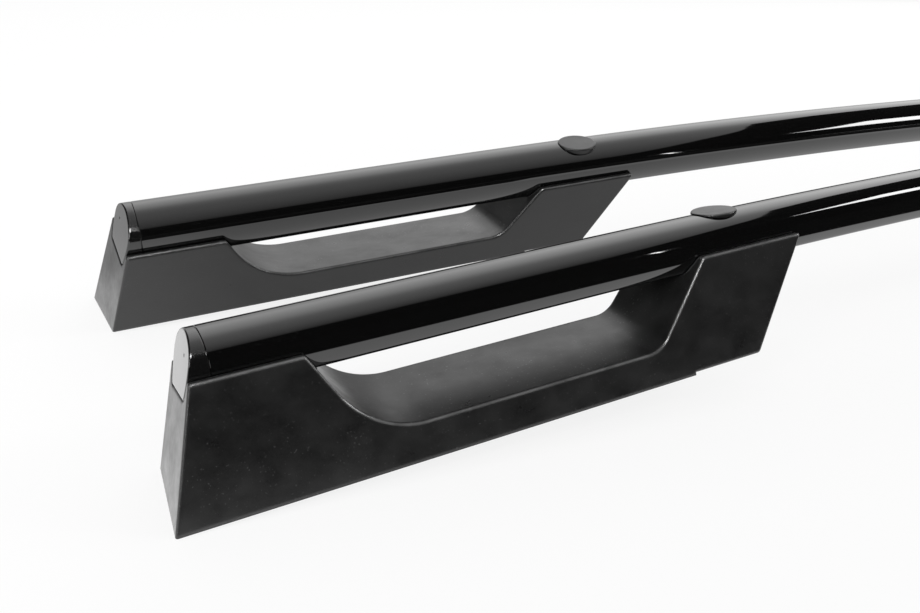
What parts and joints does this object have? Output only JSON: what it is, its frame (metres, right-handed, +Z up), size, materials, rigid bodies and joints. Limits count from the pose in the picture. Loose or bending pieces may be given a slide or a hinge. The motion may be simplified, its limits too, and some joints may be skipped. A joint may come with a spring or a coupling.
{
  "type": "roof side rail pair",
  "caption": "Pair of mirrored roof side rails: bowed black tubes on moulded feet with open windows, raked end plugs and snap-in screw covers.",
  "frame": {"origin": "middle of the pair's bounding box, on the surface that the feet stand on", "axes": "+X along the rails from the front ends to the rear ends, left rail on the -Y side, +Z up"},
  "size_m": [1.9247, 0.2598, 0.1233],
  "materials": {
    "tube_coat": "gloss black coat",
    "foot_plastic": "fine grain",
    "plug_plastic": "satin",
    "button_plastic": "satin",
    "screw_steel": "zinc plated",
    "pad_rubber": "matt",
    "insert_brass": "turned"
  },
  "bodies": {
    "root": {"left_rail_tube": "tube_coat", "left_front_foot": "foot_plastic", "left_front_end_plug": "plug_plastic", "left_front_cover_button": "button_plastic", "left_front_clamp_bolt": "screw_steel", "left_front_clamp_washer": "screw_steel", "left_front_clamp_insert": "screw_steel", "left_front_nose_screw": "screw_steel", "left_front_base_pad": "pad_rubber", "left_front_nose_roof_insert": "insert_brass", "left_front_post_roof_insert": "insert_brass", "left_rear_foot": "foot_plastic", "left_rear_end_plug": "plug_plastic", "left_rear_cover_button": "button_plastic", "left_rear_clamp_bolt": "screw_steel", "left_rear_clamp_washer": "screw_steel", "left_rear_clamp_insert": "screw_steel", "left_rear_nose_screw": "screw_steel", "left_rear_base_pad": "pad_rubber", "left_rear_nose_roof_insert": "insert_brass", "left_rear_post_roof_insert": "insert_brass", "right_rail_tube": "tube_coat", "right_front_foot": "foot_plastic", "right_front_end_plug": "plug_plastic", "right_front_cover_button": "button_plastic", "right_front_clamp_bolt": "screw_steel", "right_front_clamp_washer": "screw_steel", "right_front_clamp_insert": "screw_steel", "right_front_nose_screw": "screw_steel", "right_front_base_pad": "pad_rubber", "right_front_nose_roof_insert": "insert_brass", "right_front_post_roof_insert": "insert_brass", "right_rear_foot": "foot_plastic", "right_rear_end_plug": "plug_plastic", "right_rear_cover_button": "button_plastic", "right_rear_clamp_bolt": "screw_steel", "right_rear_clamp_washer": "screw_steel", "right_rear_clamp_insert": "screw_steel", "right_rear_nose_screw": "screw_steel", "right_rear_base_pad": "pad_rubber", "right_rear_nose_roof_insert": "insert_brass", "right_rear_post_roof_insert": "insert_brass"}
  },
  "joints": []
}
